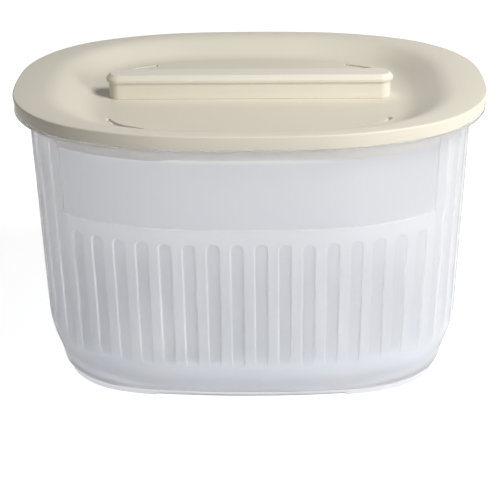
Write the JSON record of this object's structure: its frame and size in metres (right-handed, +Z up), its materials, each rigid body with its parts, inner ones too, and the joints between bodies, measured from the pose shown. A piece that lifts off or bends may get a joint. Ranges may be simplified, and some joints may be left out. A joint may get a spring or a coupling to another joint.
{
  "type": "microwave sterilizer",
  "caption": "Oval lidded tub of frosted fluted plastic with a dished lid, a long bar handle and a lift-out bottle rack, for steam sterilizing in a microwave.",
  "frame": {"origin": "middle of the footprint, on the plane that the feet stand on", "axes": "+X along the length, -Y the front with the smooth panel, +Z up"},
  "size_m": [0.25, 0.17, 0.1652],
  "materials": {
    "frosted_wall": "frosted, light passes through",
    "lid_plastic": "fine satin",
    "grip_plastic": "fine satin",
    "rack_plastic": "satin, slightly see-through"
  },
  "bodies": {
    "tub": {"tub": "frosted_wall"},
    "rack": {"bottle_rack": "rack_plastic"},
    "lid": {"lid": "lid_plastic", "grip_cap": "grip_plastic"}
  },
  "joints": [
    {"name": "rack_lift", "type": "slide", "parent": "tub", "child": "rack", "axis": [0, 0, 1], "range_m": [0, 0.16]},
    {"name": "lid_lift", "type": "slide", "parent": "rack", "child": "lid", "axis": [0, 0, 1], "range_m": [0, 0.06]}
  ]
}
